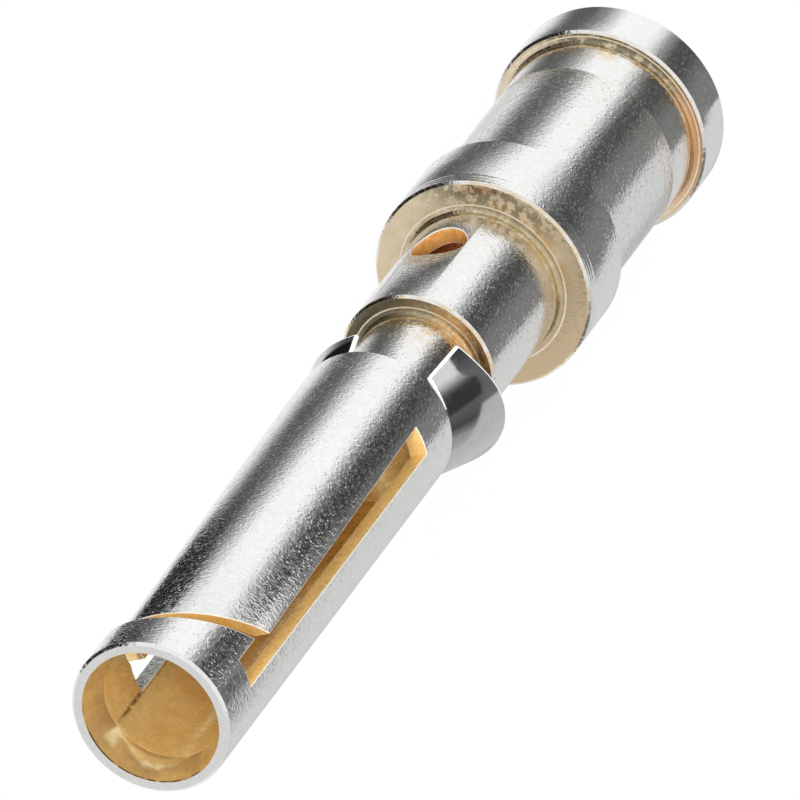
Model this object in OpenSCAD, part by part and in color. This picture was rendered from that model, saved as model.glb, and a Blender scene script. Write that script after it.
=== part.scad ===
// Turned socket crimp contact with a spring tongue, and the sheet-steel clip in its groove.
// Millimetres. The contact stands on its rear face: +Z runs from the wire end to the mouth,
// the spring tongue faces -Y, and the inspection hole lies nearly in line with it.

/* [Socket tube] */
// Outside diameter of the socket tube
tube_d = 2.8; // [2.6:0.05:3.3]
// Length of the socket tube, from the mouth to the clip groove
tube_length = 10.4; // [9:0.1:13]
// Diameter of the socket bore
socket_d = 2.1; // [1.9:0.05:2.2]
// How far the bore runs straight behind the lead-in: the entry ring
ring_length = 0.45; // [0.3:0.05:0.6]
// How much the bore's radius grows from the entry ring to its end
socket_relief = 0.02; // [0.01:0.01:0.04]
// Length of tube that is left between the end of the bore's wall and the clip groove
socket_floor = 0.8; // [0.6:0.05:2]
// Diameter of the lead-in at the mouth
lead_in_d = 2.42; // [2.3:0.02:2.46]
// Depth of the lead-in
lead_in_depth = 0.6; // [0.3:0.05:0.7]

/* [Spring tongue] */
// Width of the saw cut along the tongue
slot_w = 0.5; // [0.3:0.05:0.65]
// Front end of the cut on the open side, below the mouth
slot_front = 1.05; // [0.9:0.05:1.4]
// How far the cuts, and with them the tongue's root, stop short of the end of the bore's wall
slot_short = 0.35; // [0.25:0.05:2]
// Slant of the cross cut that frees the tip
cross_angle = 38; // [30:1:45]
// Width of the cross cut
cross_w = 0.4; // [0.24:0.02:0.44]
// Where the cross cut would meet the axis, below the mouth
cross_z = 1.97; // [1.97:0.02:2.4]
// Angle by which the tongue is bent in
tongue_bend = 1.4; // [0.5:0.1:2]
// How much thinner the tongue is than the tube, on each face
tongue_relief = 0.01; // [0.005:0.005:0.03]
// How far the tongue's root runs into the tube behind the cut
tongue_root = 0.22; // [0.12:0.02:0.28]

/* [Clip groove and body] */
// Length of the clip groove
groove_length = 2; // [1.96:0.02:2.8]
// Diameter of the neck in the groove
neck_d = 2.12; // [1.8:0.02:2.2]
// Diameter of the body behind the groove
body_d = 2.8; // [2.7:0.05:3.3]
// Length of the body, from the groove to the collar
body_length = 3.15; // [2.7:0.05:5.5]
// Diameter of the inspection hole
inspection_d = 1; // [0.6:0.05:1.3]
// Middle of the inspection hole, in front of the collar
inspection_z = 1.09; // [0.8:0.01:1.4]
// Turn of the inspection hole from the tongue
inspection_turn = -6; // [-180:1:180]

/* [Collar, crimp barrel and flange] */
// Diameter of the collar
collar_d = 3.95; // [3.8:0.05:5]
// Length of the collar
collar_length = 1.6; // [1:0.05:3.4]
// Outside diameter of the crimp barrel
barrel_d = 3.5; // [3.3:0.05:3.65]
// Length of the crimp barrel, between the collar and the flange
barrel_length = 4.2; // [3.4:0.05:6.6]
// Diameter of the rear flange
flange_d = 3.95; // [3.8:0.05:5]
// Thickness of the rear flange
flange_length = 1; // [0.6:0.05:1.7]
// Diameter of the wire bore
wire_d = 2.2; // [1.6:0.05:2.3]
// How far the wire bore runs on past the middle of the inspection hole
wire_past_hole = 0.45; // [0.1:0.05:0.9]
// Diameter of the wire entry at the rear face
wire_entry_d = 2.7; // [2.6:0.05:3]
// Depth of the wire entry
wire_entry_depth = 0.35; // [0.1:0.05:0.7]

/* [Edges] */
// Chamfer on the turned outer edges
edge = 0.05; // [0.02:0.01:0.1]
// Fillet in the turned inner corners
fillet = 0.09; // [0.03:0.01:0.13]
// Full angle of the drill points at the ends of the bores
drill_point = 118; // [90:1:140]

/* [Retaining clip] */
// Thickness of the clip's sheet
clip_sheet = 0.1; // [0.06:0.01:0.15]
// Radial clearance between the neck and the clip's front edge
clip_clear = 0.15; // [0.02:0.01:0.17]
// Gap between the tube's rear face and the clip's front edge
clip_front_gap = 0.09; // [0.02:0.01:0.14]
// Longest length of the clip, along the axis
clip_length = 1.84; // [1.2:0.02:1.9]
// Flare of the clip towards its rear edge
clip_flare = 16.5; // [8:0.5:25]
// Opening of the clip, as an angle
clip_gap = 63; // [40:1:120]
// Turn of the opening's middle from the tongue
clip_turn = -33; // [-180:1:180]
// Slant of the trim that shortens the clip beside its opening
trim_angle = 23; // [5:1:35]
// Where the slanted trim meets the axis, behind the clip's front edge
trim_z = 1.08; // [1.06:0.02:1.8]
// Turn of the trim's shortest side from the tongue
trim_turn = 10; // [-180:1:180]

/* [Hidden] */
$fn = 96;
tube_r = tube_d / 2;
neck_r = neck_d / 2;
body_r = body_d / 2;
collar_r = collar_d / 2;
barrel_r = barrel_d / 2;
flange_r = flange_d / 2;
socket_r = socket_d / 2;
socket_end_r = socket_r + socket_relief;
socket_depth = tube_length - socket_floor;
slot_rear = socket_depth - slot_short;
wire_r = wire_d / 2;
barrel_z = flange_length;
collar_z = barrel_z + barrel_length;
body_z = collar_z + collar_length;
groove_z = body_z + body_length;
tube_z = groove_z + groove_length;
mouth_z = tube_z + tube_length;
hole_z = body_z + inspection_z;
wire_depth = hole_z + wire_past_hole;
tongue_side = -90;
reach = collar_d;
half_slot = slot_w / 2;
root_z = mouth_z - slot_rear;
cross_slope = tan(cross_angle);
ring_cut_z = mouth_z - cross_z;
far_slot_z = ring_cut_z + half_slot * cross_slope;
tip_cut_z = ring_cut_z - cross_w / cos(cross_angle);
clip_front_z = tube_z - clip_front_gap;
clip_rear_z = clip_front_z - clip_length;
clip_in_r = neck_r + clip_clear;
clip_slope = tan(clip_flare);
clip_wall = clip_sheet / cos(clip_flare);

// Height above the axis, towards the tongue, and height along the axis to the model's Y and Z
module across(points) {
    rotate([90, 0, 90]) linear_extrude(height = 2 * reach, center = true)
        polygon([for (p = points) [-p[0], p[1]]]);
}

// Inner corner filled by a fillet: side 1 has the shoulder above the corner, -1 below it
module corner(r, z, side) {
    translate([r, z]) mirror([0, side > 0 ? 1 : 0]) difference() {
        square(fillet);
        translate([fillet, fillet]) circle(fillet);
    }
}

// Half section of the bar as it leaves the lathe
module turned_section() {
    polygon([
        [0, 0], [flange_r - edge, 0], [flange_r, edge],
        [flange_r, barrel_z - edge], [flange_r - edge, barrel_z], [barrel_r, barrel_z],
        [barrel_r, collar_z], [collar_r - edge, collar_z], [collar_r, collar_z + edge],
        [collar_r, body_z - edge], [collar_r - edge, body_z], [body_r, body_z],
        [body_r, groove_z - edge], [body_r - edge, groove_z], [neck_r, groove_z],
        [neck_r, tube_z], [tube_r - edge, tube_z], [tube_r, tube_z + edge],
        [tube_r, mouth_z - edge], [tube_r - edge, mouth_z], [0, mouth_z]
    ]);
    corner(barrel_r, barrel_z, -1);
    corner(barrel_r, collar_z, 1);
    corner(body_r, body_z, -1);
    corner(neck_r, groove_z, -1);
    corner(neck_r, tube_z, 1);
}

// Half section of a drilled bore, entry at height 0: a countersink, a straight stretch, a stretch that
// may widen towards the end, and the drill point
module drilled_section(r, depth, entry_r, entry_depth, straight_end, end_r) {
    past = entry_depth;
    entry_slope = (entry_r - r) / entry_depth;
    polygon([
        [0, -past], [entry_r + past * entry_slope, -past], [r, entry_depth], [r, straight_end],
        [end_r, depth], [0, depth + end_r / tan(drill_point / 2)]
    ]);
}

module socket_bore() {
    translate([0, 0, mouth_z]) mirror([0, 0, 1]) rotate_extrude() drilled_section(
        socket_r, socket_depth, lead_in_d / 2, lead_in_depth, lead_in_depth + ring_length, socket_end_r);
}

module wire_bore() {
    rotate_extrude() drilled_section(
        wire_r, wire_depth, wire_entry_d / 2, wire_entry_depth, wire_entry_depth, wire_r);
}

module inspection_hole() {
    rotate([0, 0, tongue_side + inspection_turn]) translate([0, 0, hole_z]) rotate([0, 90, 0])
        cylinder(d = inspection_d, h = reach);
}

// The drilled bar before it is slotted
module drilled_bar() {
    difference() {
        rotate_extrude() turned_section();
        socket_bore();
        wire_bore();
        inspection_hole();
    }
}

// The cuts that free the tongue: the slot runs further forward on the side where the saw goes in
module tongue_cuts() {
    across([
        [-half_slot, root_z], [reach, root_z], [reach, ring_cut_z + reach * cross_slope],
        [half_slot, far_slot_z], [-half_slot, far_slot_z]
    ]);
    translate([-reach, -half_slot, root_z]) cube([reach, slot_w, mouth_z - slot_front - root_z]);
}

// The tongue as sawn, with its root, before it is bent
module straight_tongue() {
    intersection() {
        translate([0, 0, root_z - tongue_root]) difference() {
            cylinder(r = tube_r - tongue_relief, h = slot_rear);
            cylinder(r = socket_end_r + tongue_relief, h = slot_rear);
        }
        across([
            [half_slot, root_z - tongue_root], [reach, root_z - tongue_root],
            [reach, tip_cut_z + reach * cross_slope], [half_slot, tip_cut_z + half_slot * cross_slope]
        ]);
    }
}

module contact_body() {
    color("silver") union() {
        difference() {
            drilled_bar();
            tongue_cuts();
        }
        translate([0, 0, root_z]) rotate([-tongue_bend, 0, 0]) translate([0, 0, -root_z])
            straight_tongue();
    }
}

module retaining_clip() {
    color("dimgray") rotate([0, 0, tongue_side]) difference() {
        rotate([0, 0, clip_turn + clip_gap / 2]) rotate_extrude(angle = 360 - clip_gap) polygon([
            [clip_in_r, clip_front_z],
            [clip_in_r + clip_wall, clip_front_z],
            [clip_in_r + clip_wall + clip_length * clip_slope, clip_rear_z],
            [clip_in_r + clip_length * clip_slope, clip_rear_z]
        ]);
        rotate([0, 0, trim_turn]) translate([0, 0, clip_front_z - trim_z]) rotate([0, -trim_angle, 0])
            translate([-reach, -reach, -2 * reach]) cube(2 * reach);
    }
}

contact_body();
retaining_clip();
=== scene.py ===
"""Turned socket crimp contact: fine meshes, finishes, studio and camera.

The meshes are built in millimetres, in the part's own frame: the contact stands on its rear face,
+Z runs to the socket's mouth, and the spring tongue faces -Y.
"""
import math

import bmesh
import bpy
from mathutils import Matrix, Vector


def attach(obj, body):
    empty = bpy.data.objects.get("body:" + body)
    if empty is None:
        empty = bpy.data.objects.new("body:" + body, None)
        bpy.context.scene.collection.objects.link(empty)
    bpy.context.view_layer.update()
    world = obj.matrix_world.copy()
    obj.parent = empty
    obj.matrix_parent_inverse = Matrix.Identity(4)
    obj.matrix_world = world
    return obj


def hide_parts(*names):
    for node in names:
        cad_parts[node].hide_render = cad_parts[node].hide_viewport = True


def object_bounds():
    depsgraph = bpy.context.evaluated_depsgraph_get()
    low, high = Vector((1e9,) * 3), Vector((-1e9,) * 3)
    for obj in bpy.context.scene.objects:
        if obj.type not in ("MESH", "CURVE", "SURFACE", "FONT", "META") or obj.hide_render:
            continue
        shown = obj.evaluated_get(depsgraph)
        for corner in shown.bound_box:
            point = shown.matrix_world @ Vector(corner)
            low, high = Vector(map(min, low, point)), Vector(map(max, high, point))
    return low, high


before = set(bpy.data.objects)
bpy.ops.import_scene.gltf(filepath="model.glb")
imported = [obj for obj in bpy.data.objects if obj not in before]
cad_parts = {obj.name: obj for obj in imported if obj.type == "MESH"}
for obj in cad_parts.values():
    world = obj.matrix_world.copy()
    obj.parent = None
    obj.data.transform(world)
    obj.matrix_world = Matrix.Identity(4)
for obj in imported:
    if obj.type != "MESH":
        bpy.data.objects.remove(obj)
cad_low, cad_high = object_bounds()
MM = 0.001

# Heights of the turned steps, from the rear face
BARREL_Z = 1.0
COLLAR_Z = 5.2
BODY_Z = 6.8
GROOVE_Z = 9.95
TUBE_Z = 11.95
MOUTH_Z = cad_high.z / MM

# Radii of the turned steps
TUBE_R = 1.4
NECK_R = 1.06
BODY_R = 1.4
COLLAR_R = cad_high.x / MM
BARREL_R = 1.75
FLANGE_R = COLLAR_R

# Chamfer of the turned edges, rounding of edges, fillet in the inner corners
EDGE = 0.05
EDGE_ROUND = 0.008
MOUTH_ROUND = 0.02
WIRE_ENTRY_ROUND = 0.03
FILLET = 0.09

# Bores and the inspection hole
SOCKET_R = 1.05
SOCKET_END_R = 1.07
SOCKET_DEPTH = 9.6
LEAD_IN_R = 1.21
LEAD_IN_DEPTH = 0.6
LEAD_IN_ROUND = 1.0
RING_END = 1.05
WIRE_R = 1.1
WIRE_DEPTH = 8.34
WIRE_ENTRY_R = 1.35
WIRE_ENTRY_DEPTH = 0.35
DRILL_SLOPE = 1 / math.tan(math.radians(59))
HOLE_R = 0.5
HOLE_Z = 7.89
HOLE_TURN = math.radians(-96)

# Spring tongue and its cuts
HALF_SLOT = 0.25
SLOT_FRONT_Z = MOUTH_Z - 1.05
ROOT_Z = MOUTH_Z - 9.25
CROSS_ANGLE = math.radians(38)
CROSS_SLOPE = math.tan(CROSS_ANGLE)
CROSS_W = 0.4
RING_CUT_Z = MOUTH_Z - 1.97
TIP_CUT_Z = RING_CUT_Z - CROSS_W / math.cos(CROSS_ANGLE)
TONGUE_BEND = math.radians(1.4)
TONGUE_ROOT = 0.22
ROOT_INSET = 0.05
TONGUE_RELIEF = 0.01
# How far the tongue's outside lies above the tube's, so that the two don't coincide where they are joined
TONGUE_PROUD = 0.0003
CUT_EDGE = 0.02

# Retaining clip
CLIP_FRONT_Z = 11.86
CLIP_REAR_Z = 10.02
CLIP_IN_R = 1.21
CLIP_FLARE = math.radians(16.5)
CLIP_SLOPE = math.tan(CLIP_FLARE)
CLIP_SHEET = 0.1
CLIP_WALL = CLIP_SHEET / math.cos(CLIP_FLARE)
CLIP_FROM = math.radians(-91.5)
CLIP_TO = math.radians(205.5)
TRIM_Z = 10.78
TRIM_SLOPE = math.tan(math.radians(23))
TRIM_SIDE = math.radians(-80)
CLIP_EDGE = 0.045
# How much of the edges' rounding the two ends get, so that a flat end face is left
CLIP_END_SHARE = 0.9
# How far one end has sprung out, and over what angle
CLIP_SPRING = 0.09
CLIP_SPRING_TURN = math.radians(28)

# Fine lines left by the turning tool: heights on the outside, radii on the faces that look forward
TOOL_MARKS_COLLAR = (6.68, 6.6, 6.49)
TOOL_MARK_BARREL = 2.0
FACE_LINE_COLLAR = 1.53
FACE_LINE_GROOVE = 1.18
FACE_LINE_FLANGE = 1.87
TOOL_MARK_W = 0.03
TOOL_MARK_DEPTH = 0.0045

# Places in the contact's and in the clip's list of materials
SILVER, GILT, COLLAR_FACE, GROOVE_FACE, FLANGE_FACE, CUT, COPPER, LEAD_IN, SAWN, TURNED_LINE_HIGHLIGHT = range(10)
# The clip's third material is the painted shadow on its front edge
STEEL, SHEARED, PAINTED_SHADOW = range(3)

# Mesh fineness
TURN_STEPS = 216
ARC_STEPS = 4
HOLE_STEPS = 96
# Least distance of a lathe's step from a saw cut's edge, in steps
CUT_CLEAR_STEPS = 0.6
# Angles from which an edge is sharp, and from which a cut's edge gets a bevel
SHARP_ANGLE = math.radians(38)
CUT_ANGLE = math.radians(50)
# How near counts as at the place
SLACK = 0.02
ON_TUBE = 0.002
ON_CUT = 0.0001
SAME_POINT = 0.000001

# Spots on a millimetre of the wandering roughness and of the plating's grain
ROUGHNESS_SPOTS = 9
GRAIN_SPOTS = 13
NODULE_SPOTS = 15
SCATTER_SPOTS = 7

# Painted reflection of the golden shoulder faces on the silver in front of the shoulders: the shoulder's
# height and how far the painted reflection reaches
SILVER_PAINTED_REFLECTIONS = ((BARREL_Z, 0.55), (BODY_Z, 0.4), (GROOVE_Z, 1.1))
PAINTED_REFLECTION_START = 0.02

# Camera: place in millimetres, turn in degrees, near limit in metres, and its side's angle about the axis
CAMERA_PLACE = (-133.57, -93.53, 238.16)
CAMERA_TURN = (-29.685, 20.751, 156.893)
CAMERA_LENS = 742.1
CAMERA_SENSOR = 36
CAMERA_NEAR = 0.001
CAMERA_SIDE = math.radians(-145)

# Floor, world and lamp. The lamp is in metres and watts
FLOOR_HALF = 900
FLOOR_GREY = 0.9
FLOOR_ROUGHNESS = 0.9
FLOOR_GLOW = 0.93
WORLD_LEVEL = 0.78
LAMP_PLACE = (-0.12, -0.09, 0.24)
LAMP_AIM = (0, 0, 0.011)
LAMP_SIZE = 0.1
LAMP_POWER = 0.6

# Light and dark on the floor, which the turned sides mirror as bands: the side's angle from the one that
# faces the camera, and the level near the foot and far out
BANDS = (
    (-90, 0.6, 0.6), (-70, 0.72, 0.72), (-42, 0.74, 0.74), (-40, 0.22, 0.22), (-25, 0.21, 0.2),
    (-20, 0.15, 0.09), (-14, 0.085, 0.045), (-6, 0.09, 0.06), (0, 0.34, 0.36), (4, 0.85, 0.92),
    (8, 1.1, 1.15), (24.5, 1.12, 1.12), (30, 0.7, 0.7), (35.5, 0.3, 0.3), (42.5, 0.13, 0.115),
    (52, 0.11, 0.105), (57, 0.22, 0.24), (62.5, 0.6, 0.62), (68.5, 0.95, 0.95), (90, 1, 1),
)
# How far out the floor is that each turned step mirrors, and that step's radius
BAND_ROWS = (
    (0, FLANGE_R), (0.62, FLANGE_R), (0.74, BARREL_R), (3.5, BARREL_R), (3.65, COLLAR_R), (4.65, COLLAR_R),
    (4.85, BODY_R), (7.1, BODY_R), (10, TUBE_R), (14, TUBE_R), (18, TUBE_R), (24, TUBE_R),
)
BAND_FAR = 10
CARD_Z = 0.05

# Bands further out on the floor, which the clip's free end mirrors: the level, the angle from the camera
# at the far end, and the angle and the distance at the near end
WING_BANDS = (
    (1.15, -26, -29, 22.5), (1.15, -44, -44, 22.5), (0.58, -48, -48, 21.5), (0.2, -50.5, -50.5, 19),
    (0.06, -53, -53, 17.6), (0.055, -66, -66, 17.6), (0.17, -70, -71, 17.6), (0.13, -79, -83, 17.6),
    (0.09, -82, -89, 17.6), (0.25, -86, -96, 17.6), (0.47, -92, -101, 17.6), (0.64, -110, -115, 17.6),
)
WING_FAR = 45

# The dark card that the clip's other end mirrors: its corners, towards the camera and to its side
LEFT_CARD_LEVEL = 0.015
LEFT_CARD = ((1.5, 18.5), (12, 26), (0, 32), (-25, 30), (-13, 14), (-9.8, 12.2), (-8, 13.4), (-4.5, 16.4))

# Standing cards, which the chamfers mirror: level, first and last angle from the camera, radius, low, high
WALLS = {
    "wall_dark": (0.02, 76, 128, 45, 0, 45),
    "wall_bright": (1.0, -70, 74, 60, 20, 95),
    "wall_side": (0.2, -120, -85, 45, 0, 20),
}
WALL_STEPS = 8


def round_corner(before, corner, after, radius):
    """Points of an arc of that radius in place of a corner of a flat outline."""
    corner = Vector(corner)
    to_before = (Vector(before) - corner).normalized()
    to_after = (Vector(after) - corner).normalized()
    half_angle = to_before.angle(to_after) / 2
    reach = radius / math.tan(half_angle)
    centre = corner + (to_before + to_after).normalized() * radius / math.sin(half_angle)
    first = corner + to_before * reach - centre
    sweep = first.angle_signed(corner + to_after * reach - centre)
    points = []
    for step in range(ARC_STEPS + 1):
        turn = -sweep * step / ARC_STEPS
        points.append(centre + Matrix.Rotation(turn, 2) @ first)
    return points


def round_line(corners):
    """An outline with its corners rounded. Each corner is (x, y, radius)."""
    points = []
    for i, (x, y, radius) in enumerate(corners):
        if radius == 0:
            points.append(Vector((x, y)))
            continue
        before = corners[i - 1][:2]
        after = corners[(i + 1) % len(corners)][:2]
        points += round_corner(before, (x, y), after, radius)
    return points


def new_object(name, mesh_builder, materials):
    """A new object from a bmesh, with these materials, in the scene."""
    mesh = bpy.data.meshes.new(name)
    mesh_builder.normal_update()
    mesh_builder.to_mesh(mesh)
    mesh_builder.free()
    for material in materials:
        mesh.materials.append(material)
    piece = bpy.data.objects.new(name, mesh)
    bpy.context.scene.collection.objects.link(piece)
    return piece


def skin(builder, rings, finishes=(SILVER,)):
    """Quads between neighbouring closed rings of points. finishes holds each side's material, in turn."""
    verts = [[builder.verts.new(p) for p in ring] for ring in rings]
    count = len(rings[0])
    for ring, following in zip(verts, verts[1:]):
        for i in range(count):
            j = (i + 1) % count
            face = builder.faces.new((ring[i], ring[j], following[j], following[i]))
            face.material_index = finishes[i % len(finishes)]
    return verts


def turn_angles():
    """Angles of the lathe's steps, with none close beside a saw cut's edge, which gets a bevel."""
    cuts = []
    for radius in (TUBE_R, SOCKET_R, SOCKET_END_R):
        lean = math.asin(HALF_SLOT / radius)
        cuts += [lean, math.pi - lean, math.pi + lean, 2 * math.pi - lean]
    clear = CUT_CLEAR_STEPS * 2 * math.pi / TURN_STEPS
    angles = [2 * math.pi * i / TURN_STEPS for i in range(TURN_STEPS)]
    return [a for a in angles if min(abs(a - c) for c in cuts) > clear]


def lathe(builder, line, material_of):
    """Revolves an outline that starts and ends on the axis. material_of gives a stretch's material."""
    angles = turn_angles()
    rings = []
    for r, z in line[1:-1]:
        rings.append([builder.verts.new((r * math.cos(a), r * math.sin(a), z)) for a in angles])
    count = len(angles)
    for k in range(len(rings) - 1):
        material = material_of(line[k + 1], line[k + 2])
        for i in range(count):
            j = (i + 1) % count
            face = builder.faces.new((rings[k][i], rings[k][j], rings[k + 1][j], rings[k + 1][i]))
            face.material_index = material
    for tip, ring in ((line[0], rings[0]), (line[-1], rings[-1])):
        point = builder.verts.new((0, 0, tip[1]))
        for i in range(count):
            face = builder.faces.new((ring[i], ring[(i + 1) % count], point))
            face.material_index = GILT
    bmesh.ops.recalc_face_normals(builder, faces=builder.faces)


def chamfer(r, z, up):
    """The two corners of a chamfered outer edge, in the order of a line that runs down the outside."""
    corners = [(r - EDGE, z, EDGE_ROUND), (r, z - up * EDGE, EDGE_ROUND)]
    return corners if up > 0 else corners[::-1]


def tool_mark(r, z):
    """The corners of a fine turned line, from above to below."""
    return [(r, z + TOOL_MARK_W / 2, 0), (r - TOOL_MARK_DEPTH, z, 0), (r, z - TOOL_MARK_W / 2, 0)]


def face_line(r, z):
    """The corners of a fine turned line on a face that looks forward, from inside to outside."""
    return [(r - TOOL_MARK_W / 2, z, 0), (r, z - TOOL_MARK_DEPTH, 0), (r + TOOL_MARK_W / 2, z, 0)]


def contact_line():
    """Half section of the drilled bar, from the socket's drill point round to the wire bore's."""
    socket_end = MOUTH_Z - SOCKET_DEPTH
    corners = [
        (0, socket_end - SOCKET_END_R * DRILL_SLOPE, 0),
        (SOCKET_END_R, socket_end, 0),
        (SOCKET_R, MOUTH_Z - RING_END, 0),
        (SOCKET_R, MOUTH_Z - LEAD_IN_DEPTH, LEAD_IN_ROUND),
        (LEAD_IN_R, MOUTH_Z, MOUTH_ROUND),
        *chamfer(TUBE_R, MOUTH_Z, 1),
        *chamfer(TUBE_R, TUBE_Z, -1),
        (NECK_R, TUBE_Z, FILLET),
        (NECK_R, GROOVE_Z, FILLET),
        *face_line(FACE_LINE_GROOVE, GROOVE_Z),
        *chamfer(BODY_R, GROOVE_Z, 1),
        (BODY_R, BODY_Z, FILLET),
        *face_line(FACE_LINE_COLLAR, BODY_Z),
        *chamfer(COLLAR_R, BODY_Z, 1),
    ]
    for z in TOOL_MARKS_COLLAR:
        corners += tool_mark(COLLAR_R, z)
    corners += [
        *chamfer(COLLAR_R, COLLAR_Z, -1),
        (BARREL_R, COLLAR_Z, FILLET),
        *tool_mark(BARREL_R, TOOL_MARK_BARREL),
        (BARREL_R, BARREL_Z, FILLET),
        *face_line(FACE_LINE_FLANGE, BARREL_Z),
        *chamfer(FLANGE_R, BARREL_Z, 1),
        *chamfer(FLANGE_R, 0, -1),
        (WIRE_ENTRY_R, 0, WIRE_ENTRY_ROUND),
        (WIRE_R, WIRE_ENTRY_DEPTH, 0),
        (WIRE_R, WIRE_DEPTH, 0),
        (0, WIRE_DEPTH + WIRE_R * DRILL_SLOPE, 0),
    ]
    return round_line(corners)


def finish_of(here, there):
    """Place in the list of materials for a stretch of the half section."""
    widest = max(here[0], there[0])
    low, high = sorted((here[1], there[1]))
    in_socket = low > TUBE_Z + FILLET and widest < LEAD_IN_R
    in_wire = high < GROOVE_Z - FILLET and widest < WIRE_ENTRY_R - SLACK
    if in_socket:
        return LEAD_IN if low > MOUTH_Z - LEAD_IN_DEPTH - SLACK else GILT
    if in_wire:
        return COPPER
    shoulders = (
        (BODY_Z, BODY_R, COLLAR_R, COLLAR_FACE),
        (GROOVE_Z, NECK_R, BODY_R, GROOVE_FACE),
        (BARREL_Z, BARREL_R, FLANGE_R, FLANGE_FACE),
    )
    for shoulder_z, corner_r, edge_r, finish in shoulders:
        level = low > shoulder_z - EDGE_ROUND and high < shoulder_z + FILLET + SLACK / 2
        if level and corner_r < widest < edge_r - EDGE + EDGE_ROUND:
            # The face lines take a finish with a painted highlight
            return TURNED_LINE_HIGHLIGHT if low < shoulder_z - TOOL_MARK_DEPTH / 2 else finish
    return SILVER


def prism(builder, outline, low_x, high_x):
    """A closed prism along X. The outline holds (height towards the tongue, z)."""
    near = [builder.verts.new((low_x, -y, z)) for y, z in outline]
    far = [builder.verts.new((high_x, -y, z)) for y, z in outline]
    builder.faces.new(near)
    builder.faces.new(far[::-1])
    for i in range(len(outline)):
        j = (i + 1) % len(outline)
        builder.faces.new((near[j], near[i], far[i], far[j]))
    bmesh.ops.recalc_face_normals(builder, faces=builder.faces)


def cut_tools(materials):
    """The solids that are cut away: the tongue's space, the longer saw cut and the inspection hole."""
    out = 2 * COLLAR_R
    far_slot_z = RING_CUT_Z + HALF_SLOT * CROSS_SLOPE
    space = bmesh.new()
    prism(space, [
        (-HALF_SLOT, ROOT_Z), (out, ROOT_Z), (out, RING_CUT_Z + out * CROSS_SLOPE),
        (HALF_SLOT, far_slot_z), (-HALF_SLOT, far_slot_z),
    ], -out, out)
    saw = bmesh.new()
    prism(saw, [
        (-HALF_SLOT, ROOT_Z), (HALF_SLOT, ROOT_Z), (HALF_SLOT, SLOT_FRONT_Z), (-HALF_SLOT, SLOT_FRONT_Z),
    ], -out, 0)
    hole = bmesh.new()
    outward = Matrix.Translation((out / 2, 0, HOLE_Z)) @ Matrix.Rotation(math.pi / 2, 4, "Y")
    to_front = Matrix.Rotation(HOLE_TURN, 4, "Z") @ outward
    bmesh.ops.create_cone(
        hole, cap_ends=True, segments=HOLE_STEPS, radius1=HOLE_R, radius2=HOLE_R, depth=out, matrix=to_front)
    builders = {"tongue_space": (space, SAWN), "saw_cut": (saw, SAWN), "hole_drill": (hole, COPPER)}
    tools = []
    for name, (builder, finish) in builders.items():
        for face in builder.faces:
            face.material_index = finish
        tools.append(new_object(name, builder, materials))
    return tools


def tongue_section(inset):
    """Outline of the tongue across the axis, shrunk by inset, as (x, height), and each side's material."""
    outer_r = TUBE_R + TONGUE_PROUD - inset
    inner_r = SOCKET_END_R + TONGUE_RELIEF + inset
    foot = HALF_SLOT + inset
    steps = TURN_STEPS // 2
    points = []
    finishes = []
    for radius, start_y, finish in ((outer_r, foot + CUT_EDGE, SILVER), (inner_r, foot, GILT)):
        lean = math.asin(start_y / radius)
        arc = []
        for step in range(steps + 1):
            angle = lean + (math.pi - 2 * lean) * step / steps
            arc.append((radius * math.cos(angle), radius * math.sin(angle)))
        points.append(arc)
        finishes.append([finish] * steps)
    side_x = math.sqrt((outer_r - CUT_EDGE) ** 2 - foot ** 2)
    outline = points[0] + [(-side_x, foot)] + points[1][::-1] + [(side_x, foot)]
    sides = finishes[0] + [CUT, SILVER] + finishes[1] + [SILVER, CUT]
    return outline, sides


def spring_tongue(materials):
    """The tongue, bent in from its root, with a rounded slanted tip."""
    builder = bmesh.new()
    root = ((ROOT_Z - TONGUE_ROOT, ROOT_INSET), (ROOT_Z - ROOT_INSET, 0), (ROOT_Z + ROOT_INSET / 2, 0))
    rings = []
    for z, inset in root:
        rings.append([(x, -y, z) for x, y in tongue_section(inset)[0]])
    for step in range(ARC_STEPS + 1):
        turn = math.pi / 2 * step / ARC_STEPS
        inset = CUT_EDGE * (1 - math.cos(turn))
        back = CUT_EDGE * (1 - math.sin(turn))
        outline = tongue_section(inset)[0]
        rings.append([(x, -y, TIP_CUT_Z + y * CROSS_SLOPE - back) for x, y in outline])
    sides = tongue_section(0)[1]
    tip = skin(builder, rings[len(root):], (CUT,))
    long_rings = skin(builder, rings[:len(root) + 1], sides)
    builder.faces.new(tip[-1]).material_index = GILT
    builder.faces.new(long_rings[0]).material_index = GILT
    bmesh.ops.remove_doubles(builder, verts=builder.verts, dist=SAME_POINT)
    bmesh.ops.recalc_face_normals(builder, faces=builder.faces)
    at_root = Matrix.Translation((0, 0, ROOT_Z))
    bend = at_root @ Matrix.Rotation(-TONGUE_BEND, 4, "X") @ at_root.inverted()
    free = [v for v in builder.verts if v.co.z > ROOT_Z]
    bmesh.ops.transform(builder, matrix=bend, verts=free)
    return new_object("tongue", builder, materials)


def applied(piece):
    """Replaces the object's mesh by the one its modifiers give, and returns the object."""
    graph = bpy.context.evaluated_depsgraph_get()
    made = bpy.data.meshes.new_from_object(piece.evaluated_get(graph))
    old = piece.data
    piece.modifiers.clear()
    piece.data = made
    bpy.data.meshes.remove(old)
    return piece


def boolean(piece, tool, operation):
    """Cuts a tool from the piece or joins it to it, and removes the tool."""
    step = piece.modifiers.new(operation.lower(), "BOOLEAN")
    step.operation = operation
    step.object = tool
    step.solver = "EXACT"
    step.material_mode = "TRANSFER"
    applied(piece)
    bpy.data.objects.remove(tool)


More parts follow.
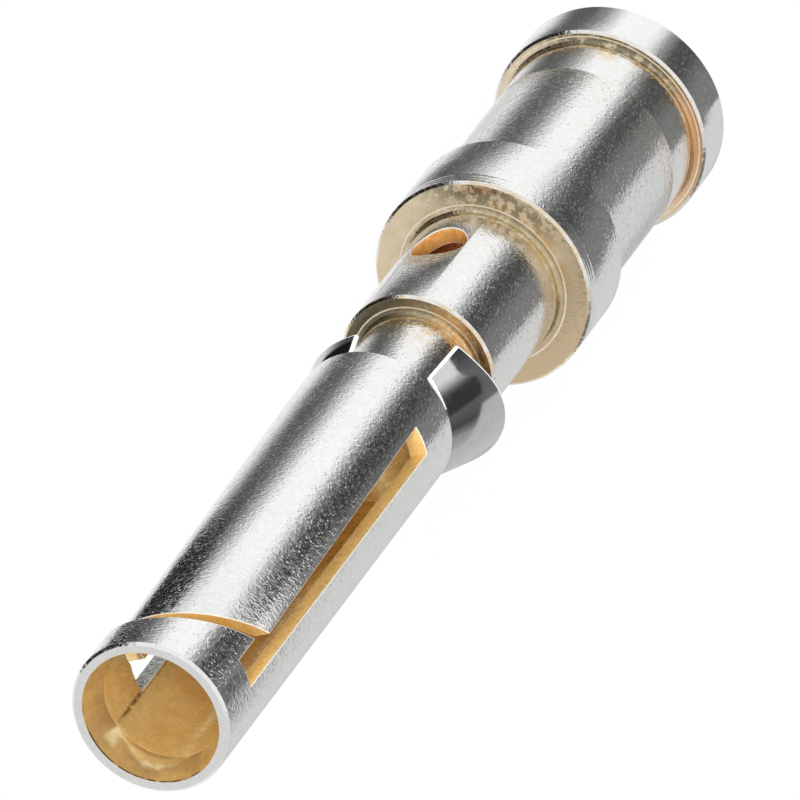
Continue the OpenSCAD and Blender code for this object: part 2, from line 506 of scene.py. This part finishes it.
def finish_edges(piece, width):
    """Small bevels on the outer edges of the cuts. The cut face across from the saw's side is silver."""
    builder = bmesh.new()
    builder.from_mesh(piece.data)
    weight = builder.edges.layers.float.new("bevel_weight_edge")
    for edge in builder.edges:
        if edge.calc_face_angle_signed() > CUT_ANGLE:
            edge[weight] = 1
    for face in builder.faces:
        middle = face.calc_center_median()
        if middle.x > 0 and abs(middle.y - HALF_SLOT) < ON_CUT:
            face.material_index = SILVER
    builder.to_mesh(piece.data)
    builder.free()
    bevel = piece.modifiers.new("cut_edges", "BEVEL")
    bevel.limit_method = "WEIGHT"
    bevel.width = width
    bevel.segments = 2
    # The bevels take the cut edges' finish, with its painted highlight
    bevel.material = CUT
    bevel.use_clamp_overlap = False
    bevel.loop_slide = False
    applied(piece)


def to_metres(piece):
    """Smooth shading with weighted normals, at real size."""
    piece.data.transform(Matrix.Scale(MM, 4))
    piece.data.shade_smooth()
    piece.data.set_sharp_from_angle(angle=SHARP_ANGLE)
    normals = piece.modifiers.new("normals", "WEIGHTED_NORMAL")
    normals.keep_sharp = True
    return applied(piece)


def true_tube_normals(piece):
    """Exact normals on the outside of the slotted tube, where the cuts leave uneven faces."""
    mesh = piece.data
    normals = [n.vector.copy() for n in mesh.corner_normals]
    for face in mesh.polygons:
        corners = [mesh.vertices[i].co / MM for i in face.vertices]
        on_tube = all(abs(c.xy.length - TUBE_R) < ON_TUBE and c.z > TUBE_Z for c in corners)
        if not on_tube:
            continue
        for loop in face.loop_indices:
            place = mesh.vertices[mesh.loops[loop].vertex_index].co
            normals[loop] = Vector((place.x, place.y, 0)).normalized()
    mesh.normals_split_custom_set(normals)


def contact_body(materials):
    """The slotted contact with its tongue, one closed mesh."""
    builder = bmesh.new()
    lathe(builder, contact_line(), finish_of)
    piece = new_object("contact", builder, materials)
    for tool in cut_tools(materials):
        boolean(piece, tool, "DIFFERENCE")
    finish_edges(piece, CUT_EDGE)
    boolean(piece, spring_tongue(materials), "UNION")
    to_metres(piece)
    true_tube_normals(piece)
    return piece


def clip_section(turn, inset):
    """Outline of the clip's sheet at an angle about the axis, as (r, z), shrunk by inset."""
    lean = TRIM_SLOPE * math.cos(turn - TRIM_SIDE)
    loose = max(0, 1 - (CLIP_TO - turn) / CLIP_SPRING_TURN)
    sprung = CLIP_SPRING * loose ** 2
    ends = []
    for start_r in (CLIP_IN_R, CLIP_IN_R + CLIP_WALL):
        trimmed = (TRIM_Z + lean * (start_r + CLIP_FRONT_Z * CLIP_SLOPE)) / (1 + lean * CLIP_SLOPE)
        rear_z = max(CLIP_REAR_Z, trimmed)
        ends.append((start_r + (CLIP_FRONT_Z - rear_z) * CLIP_SLOPE, rear_z))
    (in_r, in_z), (out_r, out_z) = ends
    corners = [
        (CLIP_IN_R + inset, CLIP_FRONT_Z - inset), (CLIP_IN_R + CLIP_WALL - inset, CLIP_FRONT_Z - inset),
        (out_r - inset, out_z + inset), (in_r + inset, in_z + inset),
    ]
    return round_line([(r + sprung, z, CLIP_EDGE - inset) for r, z in corners])


def retaining_clip(materials):
    """The flared sheet clip with its opening and its slanted rear edge."""
    builder = bmesh.new()
    end_turn = CLIP_EDGE / CLIP_IN_R
    first = []
    last = []
    for step in range(ARC_STEPS):
        lift = math.pi / 2 * step / ARC_STEPS
        inset = CLIP_EDGE * (1 - math.sin(lift)) * CLIP_END_SHARE
        back = end_turn * (1 - math.cos(lift))
        first.append((CLIP_FROM + back, inset))
        last.append((CLIP_TO - back, inset))
    inner = []
    inner_turn = CLIP_TO - CLIP_FROM - 2 * end_turn
    for step in range(TURN_STEPS + 1):
        inner.append((CLIP_FROM + end_turn + inner_turn * step / TURN_STEPS, 0))
    rings = []
    for turn, inset in first + inner + last[::-1]:
        rings.append([(r * math.cos(turn), r * math.sin(turn), z) for r, z in clip_section(turn, inset)])
    # The sheet's rounded edges and its ends take the sheared edges' painted highlight
    edge_and_face = [SHEARED] * (2 * ARC_STEPS + 1) + [STEEL]
    verts = skin(builder, rings, edge_and_face * 2)
    builder.faces.new(verts[0]).material_index = SHEARED
    builder.faces.new(verts[-1][::-1]).material_index = SHEARED
    # Ends are sheared; the front edge behind the tube's rim, away from the sprung end, takes the painted
    # shadow of the gap
    for face in builder.faces:
        middle = face.calc_center_median()
        from_end = (CLIP_TO - math.atan2(middle.y, middle.x)) % (2 * math.pi)
        if min(from_end, CLIP_TO - CLIP_FROM - from_end) < end_turn:
            face.material_index = SHEARED
        elif middle.z > CLIP_FRONT_Z - CLIP_EDGE and from_end > CLIP_SPRING_TURN:
            face.material_index = PAINTED_SHADOW
    bmesh.ops.recalc_face_normals(builder, faces=builder.faces)
    return to_metres(new_object("clip", builder, materials))


def from_camera(angle):
    """Direction on the floor at an angle in degrees from the camera's side."""
    turn = CAMERA_SIDE + math.radians(angle)
    return Vector((math.cos(turn), math.sin(turn)))


def new_material(name):
    """An empty node material with its nodes, its links and its surface shader."""
    material = bpy.data.materials.new(name)
    material.use_nodes = True
    nodes = material.node_tree.nodes
    return material, nodes, material.node_tree.links, nodes["Principled BSDF"]


def combine(nodes, links, operation, values):
    """Some values taken together, one after the other, by one operation."""
    result = values[0]
    for value in values[1:]:
        step = nodes.new("ShaderNodeMath")
        step.operation = operation
        links.new(result, step.inputs[0])
        links.new(value, step.inputs[1])
        result = step.outputs[0]
    return result


class Finish:
    """A metal finish whose colour and roughness wander, and which takes tints, painted light and a bump.

    Noise is given in spots on a millimetre. A place on the object is a value in metres.
    """

    def __init__(self, name, first, second, spots, roughness, metallic=1.0):
        self.material, self.nodes, self.links, self.shader = new_material(name)
        self.shader.inputs["Metallic"].default_value = metallic
        mix = self.nodes.new("ShaderNodeMix")
        mix.data_type = "RGBA"
        mix.inputs["A"].default_value = (*first, 1)
        mix.inputs["B"].default_value = (*second, 1)
        self.links.new(self.spread(self.noise(spots), 0, 1, 0.35, 0.65), mix.inputs["Factor"])
        self.use_colour(mix)
        low, high = roughness
        wander = self.spread(self.noise(ROUGHNESS_SPOTS), low, high, 0.35, 0.7)
        self.links.new(wander, self.shader.inputs["Roughness"])

    def use_colour(self, mix):
        """Makes what a mix node gives the base colour."""
        self.colour = mix.outputs["Result"]
        self.links.new(self.colour, self.shader.inputs["Base Color"])

    def lay_tint_or_painted_light(self, colour, share):
        """Lays a colour over the one so far, by a share from 0 to 1: a tint, or painted light or shade."""
        over = self.nodes.new("ShaderNodeMix")
        over.data_type = "RGBA"
        over.inputs["B"].default_value = (*colour, 1)
        self.links.new(self.colour, over.inputs["A"])
        self.links.new(share, over.inputs["Factor"])
        self.use_colour(over)

    def bump(self, height, depth):
        """Bump of that depth in millimetres."""
        bump = self.nodes.new("ShaderNodeBump")
        bump.inputs["Strength"].default_value = 1.0
        bump.inputs["Distance"].default_value = depth * MM
        self.links.new(height, bump.inputs["Height"])
        self.links.new(bump.outputs["Normal"], self.shader.inputs["Normal"])

    def place(self):
        """The place on the object, as a vector."""
        return self.nodes.new("ShaderNodeTexCoord").outputs["Object"]

    def along(self, axis):
        """The place along an axis."""
        apart = self.nodes.new("ShaderNodeSeparateXYZ")
        self.links.new(self.place(), apart.inputs["Vector"])
        return apart.outputs[axis]

    def towards(self, angle):
        """The place along a direction at an angle in degrees from the camera's side."""
        dot = self.nodes.new("ShaderNodeVectorMath")
        dot.operation = "DOT_PRODUCT"
        dot.inputs[1].default_value = (*from_camera(angle), 0)
        self.links.new(self.place(), dot.inputs[0])
        return dot.outputs["Value"]

    def from_axis(self):
        """The distance from the axis."""
        flat = self.nodes.new("ShaderNodeVectorMath")
        flat.operation = "MULTIPLY"
        flat.inputs[1].default_value = (1, 1, 0)
        self.links.new(self.place(), flat.inputs[0])
        length = self.nodes.new("ShaderNodeVectorMath")
        length.operation = "LENGTH"
        self.links.new(flat.outputs["Vector"], length.inputs[0])
        return length.outputs["Value"]

    def noise(self, spots, detail=2.0):
        """Noise over the object."""
        texture = self.nodes.new("ShaderNodeTexNoise")
        texture.inputs["Scale"].default_value = spots / MM
        texture.inputs["Detail"].default_value = detail
        self.links.new(self.place(), texture.inputs["Vector"])
        return texture.outputs["Fac"]

    def spread(self, value, low, high, from_low=0.0, from_high=1.0):
        """A value mapped from one range to another."""
        mapping = self.nodes.new("ShaderNodeMapRange")
        mapping.inputs["From Min"].default_value = from_low
        mapping.inputs["From Max"].default_value = from_high
        mapping.inputs["To Min"].default_value = low
        mapping.inputs["To Max"].default_value = high
        self.links.new(value, mapping.inputs["Value"])
        return mapping.outputs["Result"]

    def patches(self, spots, from_low, from_high, least=0):
        """Noise raised to patches, from least to 1."""
        return self.spread(self.noise(spots), least, 1, from_low, from_high)

    def rise(self, place, start, end):
        """0 that grows to 1 between two places in millimetres."""
        return self.spread(place, 0, 1, start * MM, end * MM)

    def fall(self, place, start, end):
        """1 that sinks to 0 between two places in millimetres."""
        return self.spread(place, 1, 0, start * MM, end * MM)

    def product(self, *values):
        """The product of some values."""
        return combine(self.nodes, self.links, "MULTIPLY", values)

    def grain(self):
        """Height of the plating's grain: a fine unevenness with scattered small round nodules."""
        fine = self.spread(self.noise(GRAIN_SPOTS, 1.0), 0.0, 0.85)
        cells = self.nodes.new("ShaderNodeTexVoronoi")
        cells.inputs["Scale"].default_value = NODULE_SPOTS / MM
        self.links.new(self.place(), cells.inputs["Vector"])
        nodules = self.spread(cells.outputs["Distance"], 0.75, 0.0, 0.0, 0.42)
        scattered = self.spread(self.noise(SCATTER_SPOTS, 1.0), 0.25, 1.0, 0.38, 0.56)
        heights = fine, self.product(nodules, scattered)
        return combine(self.nodes, self.links, "ADD", heights)


def silver_plating():
    """Satin, finely grained silver, with a painted reflection of the golden shoulder faces in front of the
    shoulders.
    """
    finish = Finish(
        "silver_plating", (0.84, 0.84, 0.83), (0.79, 0.79, 0.77), spots=12, roughness=(0.12, 0.24))
    height = finish.nodes.new("ShaderNodeValToRGB")
    ramp = height.color_ramp.elements
    ramp[0].color = ramp[1].color = (0, 0, 0, 1)
    for foot, reach in SILVER_PAINTED_REFLECTIONS:
        for z, level in ((foot - PAINTED_REFLECTION_START, 0), (foot, 1), (foot + reach / 2, 0.6), (foot + reach, 0)):
            ramp.new(z / MOUTH_Z).color = (level, level, level, 1)
    finish.links.new(finish.rise(finish.along("Z"), 0, MOUTH_Z), height.inputs["Fac"])
    matte = finish.spread(finish.noise(19, 1.0), 1, 0.91, 0.58, 0.66)
    finish.links.new(matte, finish.shader.inputs["Metallic"])
    # Painted reflection: warm, mottled gold on the silver in front of each shoulder
    share = finish.product(height.outputs["Color"], finish.patches(5, 0.36, 0.6))
    finish.lay_tint_or_painted_light((0.72, 0.52, 0.24), share)
    finish.bump(finish.grain(), depth=0.0052)
    return finish.material


def gilt_bore():
    """Warm, yellowed plating in the bore, with a dark line along one saw cut."""
    finish = Finish(
        "gilt_bore", (0.97, 0.73, 0.31), (0.89, 0.63, 0.23), spots=3, roughness=(0.18, 0.36), metallic=0.55)
    y = finish.along("Y")
    # A dark line along one saw cut, inside the bore
    dark_line = finish.product(
        finish.rise(y, HALF_SLOT - 0.05, HALF_SLOT),
        finish.fall(y, HALF_SLOT + 0.01, HALF_SLOT + 0.07),
        finish.rise(finish.along("X"), 0, 0.3),
        finish.fall(finish.along("Z"), MOUTH_Z - 1.0, MOUTH_Z - 0.6),
        finish.patches(9, 0.35, 0.5),
    )
    finish.lay_tint_or_painted_light((0.22, 0.12, 0.04), dark_line)
    finish.bump(finish.noise(6), depth=0.002)
    return finish.material


def lead_in():
    """Olive gold of the lead-in, painted darker than the bore's plating as shade, with a dark line at part
    of its rim.
    """
    finish = Finish(
        "lead_in", (0.78, 0.63, 0.34), (0.66, 0.52, 0.26), spots=4, roughness=(0.1, 0.22), metallic=0.75)
    # A dark line at part of the rim
    dark_line = finish.product(
        finish.rise(finish.along("Z"), MOUTH_Z - 0.05, MOUTH_Z - 0.03),
        finish.rise(finish.towards(-160), 0.2, 0.7),
        finish.patches(7, 0.38, 0.5),
    )
    finish.lay_tint_or_painted_light((0.12, 0.08, 0.03), dark_line)
    finish.bump(finish.noise(4), depth=0.004)
    return finish.material


def sawn_face():
    """Matt, yellowed faces of the saw cuts."""
    finish = Finish(
        "sawn_face", (0.98, 0.68, 0.27), (0.86, 0.57, 0.19), spots=6, roughness=(0.25, 0.45), metallic=0.3)
    finish.bump(finish.noise(8), depth=0.003)
    return finish.material


def copper_bore():
    """Copper alloy that shows in the inspection hole and the wire bore."""
    finish = Finish(
        "copper_bore", (0.88, 0.47, 0.15), (0.72, 0.36, 0.10), spots=7, roughness=(0.2, 0.4), metallic=0.4)
    finish.bump(finish.noise(8), depth=0.006)
    return finish.material


def collar_face():
    """Golden beige plating on the collar's front face, with painted shade in the corner and painted
    reflection at the far rim.
    """
    finish = Finish("collar_face", (0.88, 0.74, 0.55), (0.80, 0.65, 0.45), spots=3, roughness=(0.18, 0.34))
    gold = finish.rise(finish.towards(-90), -0.5, 1.3)
    finish.lay_tint_or_painted_light((0.68, 0.53, 0.34), gold)
    # Painted shade: darker, patchy gold in the inner corner by the body
    corner = finish.product(
        finish.fall(finish.from_axis(), 1.5, 1.56), finish.patches(6, 0.35, 0.6, least=0.2))
    finish.lay_tint_or_painted_light((0.56, 0.46, 0.28), corner)
    # Painted reflection of the body's dark band: dark patches at the rim on one side
    painted_dark_reflection = finish.product(finish.rise(finish.towards(22), 1.15, 1.6), finish.patches(8, 0.4, 0.55))
    finish.lay_tint_or_painted_light((0.36, 0.31, 0.20), painted_dark_reflection)
    finish.bump(finish.grain(), depth=0.005)
    return finish.material


def groove_face():
    """Brown plating on the groove's shoulder, orange on one side and painted shade on the other."""
    finish = Finish("groove_face", (0.95, 0.75, 0.47), (0.50, 0.42, 0.27), spots=13, roughness=(0.35, 0.55))
    orange = finish.product(
        finish.rise(finish.towards(-60), 0.1, 0.8), finish.patches(12, 0.38, 0.55, least=0.3))
    finish.lay_tint_or_painted_light((0.90, 0.52, 0.21), orange)
    # Painted shade: darker towards one side
    dark = finish.spread(finish.towards(85), 0, 0.95, 0.2 * MM, 1.1 * MM)
    finish.lay_tint_or_painted_light((0.2, 0.18, 0.12), dark)
    finish.bump(finish.grain(), depth=0.005)
    return finish.material


def flange_face():
    """Beige plating on the flange's front face, turning to copper on one side, with patches of painted
    reflection on another.
    """
    finish = Finish("flange_face", (0.95, 0.79, 0.60), (0.86, 0.70, 0.50), spots=3, roughness=(0.2, 0.36))
    copper = finish.rise(finish.towards(-50), 0.9, 1.8)
    finish.lay_tint_or_painted_light((0.72, 0.42, 0.21), copper)
    # Painted reflection: dark brown patches at the rim on one side
    painted_dark_reflection = finish.product(
        finish.rise(finish.towards(20), 1.1, 1.6), finish.patches(8, 0.38, 0.52, least=0.35))
    finish.lay_tint_or_painted_light((0.27, 0.24, 0.16), painted_dark_reflection)
    finish.bump(finish.grain(), depth=0.004)
    return finish.material


def cut_edge_highlight():
    """Broken edges of the saw cuts, with a painted highlight in their near-white colour."""
    finish = Finish(
        "cut_edge_highlight", (0.95, 0.93, 0.88), (0.86, 0.82, 0.74), spots=9, roughness=(0.4, 0.6), metallic=0.5)
    return finish.material


def turned_line_highlight():
    """Fine lines that the tool left on the faces, with a painted highlight in their bright colour."""
    finish = Finish(
        "turned_line_highlight", (0.93, 0.84, 0.68), (0.82, 0.72, 0.54), spots=7, roughness=(0.3, 0.5), metallic=0.75)
    return finish.material


def spring_steel():
    """Bright rolled sheet steel."""
    finish = Finish(
        "spring_steel", (0.58, 0.585, 0.60), (0.54, 0.545, 0.56), spots=6, roughness=(0.06, 0.12))
    return finish.material


def sheared_edge_highlight():
    """Sheared edges of the clip's sheet, with a painted highlight in their near-white colour."""
    finish = Finish(
        "sheared_edge_highlight", (0.96, 0.96, 0.95), (0.90, 0.90, 0.89), spots=9, roughness=(0.4, 0.55), metallic=0.2)
    return finish.material


def painted_shadow_edge():
    """The clip's front edge where it lies behind the tube's rim, painted dark as the shadow in the gap."""
    finish = Finish(
        "painted_shadow_edge", (0.12, 0.12, 0.12), (0.07, 0.07, 0.07), spots=9, roughness=(0.4, 0.6), metallic=0.6)
    return finish.material


def white_floor():
    """White floor: white to the camera and in reflections, with a share of real shade."""
    material, nodes, links, shader = new_material("floor_white")
    shader.inputs["Base Color"].default_value = (FLOOR_GREY, FLOOR_GREY, FLOOR_GREY, 1)
    shader.inputs["Roughness"].default_value = FLOOR_ROUGHNESS
    path = nodes.new("ShaderNodeLightPath")
    rays = ("Is Camera Ray", "Is Glossy Ray", "Is Transmission Ray")
    share = nodes.new("ShaderNodeMath")
    share.operation = "MULTIPLY"
    share.inputs[1].default_value = FLOOR_GLOW
    links.new(combine(nodes, links, "MAXIMUM", [path.outputs[ray] for ray in rays]), share.inputs[0])
    glow = nodes.new("ShaderNodeEmission")
    mix = nodes.new("ShaderNodeMixShader")
    links.new(share.outputs[0], mix.inputs["Fac"])
    links.new(shader.outputs["BSDF"], mix.inputs[1])
    links.new(glow.outputs["Emission"], mix.inputs[2])
    links.new(mix.outputs["Shader"], nodes["Material Output"].inputs["Surface"])
    return material


def card(name, builder):
    """A glowing card that only the metal's reflections see. Each of its points holds its level."""
    material, nodes, links, shader = new_material(name)
    glow = nodes.new("ShaderNodeEmission")
    level = nodes.new("ShaderNodeAttribute")
    level.attribute_name = "level"
    links.new(level.outputs["Fac"], glow.inputs["Strength"])
    links.new(glow.outputs["Emission"], nodes["Material Output"].inputs["Surface"])
    piece = new_object(name, builder, [material])
    piece.visible_camera = False
    piece.visible_shadow = False
    piece.visible_diffuse = False


def card_builder():
    """A new bmesh with the level's layer, and a function that adds a point in millimetres with its level."""
    builder = bmesh.new()
    layer = builder.verts.layers.float.new("level")

    def add(x, y, z, level):
        vert = builder.verts.new((x * MM, y * MM, z * MM))
        vert[layer] = level
        return vert

    return builder, add


def quads(builder, rows):
    """Faces between neighbouring rows of points."""
    for row, following in zip(rows, rows[1:]):
        for i in range(len(row) - 1):
            builder.faces.new((row[i], row[i + 1], following[i + 1], following[i]))


def band_card():
    """The light and dark bands round the foot."""
    builder, add = card_builder()
    rows = []
    for side, near, far in BANDS:
        row = []
        for distance, radius in BAND_ROWS:
            place = from_camera(side) * radius + from_camera(2 * side) * distance
            row.append(add(*place, CARD_Z, near if distance < BAND_FAR else far))
        rows.append(row)
    quads(builder, rows)
    card("card_bands", builder)


def clip_cards():
    """The cards on the floor that the clip's two ends mirror."""
    builder, add = card_builder()
    rows = []
    for level, far, near, distance in WING_BANDS:
        ends = from_camera(near) * distance, from_camera(far) * WING_FAR
        rows.append([add(*place, 2 * CARD_Z, level) for place in ends])
    quads(builder, rows)
    card("card_wing", builder)
    builder, add = card_builder()
    points = [from_camera(0) * ahead + from_camera(90) * aside for ahead, aside in LEFT_CARD]
    builder.faces.new([add(*point, 2 * CARD_Z, LEFT_CARD_LEVEL) for point in points])
    card("card_left_wing", builder)


def standing_cards():
    """The cards that stand round the object."""
    for name, (level, first, last, radius, low, high) in WALLS.items():
        builder, add = card_builder()
        rows = []
        for step in range(WALL_STEPS + 1):
            place = from_camera(first + (last - first) * step / WALL_STEPS) * radius
            rows.append([add(*place, low, level), add(*place, high, level)])
        quads(builder, rows)
        card(name, builder)


def studio():
    """Floor, cards that the metal reflects, lamp and world."""
    builder = bmesh.new()
    half = FLOOR_HALF * MM
    corners = ((-1, -1), (1, -1), (1, 1), (-1, 1))
    builder.faces.new([builder.verts.new((x * half, y * half, 0)) for x, y in corners])
    floor = new_object("floor", builder, [white_floor()])
    band_card()
    clip_cards()
    standing_cards()
    lamp = bpy.data.lights.new("soft_lamp", "AREA")
    lamp.size = LAMP_SIZE
    lamp.energy = LAMP_POWER
    stand = bpy.data.objects.new("soft_lamp", lamp)
    bpy.context.scene.collection.objects.link(stand)
    stand.location = LAMP_PLACE
    stand.visible_glossy = False
    aim = Vector(LAMP_AIM) - Vector(LAMP_PLACE)
    stand.rotation_euler = aim.to_track_quat("-Z", "Y").to_euler()
    world = bpy.data.worlds.new("studio")
    world.use_nodes = True
    background = world.node_tree.nodes["Background"]
    background.inputs["Color"].default_value = (WORLD_LEVEL, WORLD_LEVEL, WORLD_LEVEL, 1)
    bpy.context.scene.world = world


def camera():
    """Camera at the photograph's viewing angle."""
    data = bpy.data.cameras.new("camera")
    data.lens = CAMERA_LENS
    data.sensor_width = CAMERA_SENSOR
    data.clip_start = CAMERA_NEAR
    eye = bpy.data.objects.new("camera", data)
    bpy.context.scene.collection.objects.link(eye)
    eye.location = [x * MM for x in CAMERA_PLACE]
    eye.rotation_euler = [math.radians(x) for x in CAMERA_TURN]
    bpy.context.scene.camera = eye


contact = contact_body([
    silver_plating(), gilt_bore(), collar_face(), groove_face(), flange_face(), cut_edge_highlight(), copper_bore(),
    lead_in(), sawn_face(), turned_line_highlight()])
clip = retaining_clip([spring_steel(), sheared_edge_highlight(), painted_shadow_edge()])
dressed = ((contact, "contact_body", "silver_plating"), (clip, "retaining_clip", "spring_steel"))
for piece, node, slot in dressed:
    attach(piece, "root")
    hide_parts(node)
studio()
camera()
bpy.context.scene.view_settings.view_transform = "Standard"
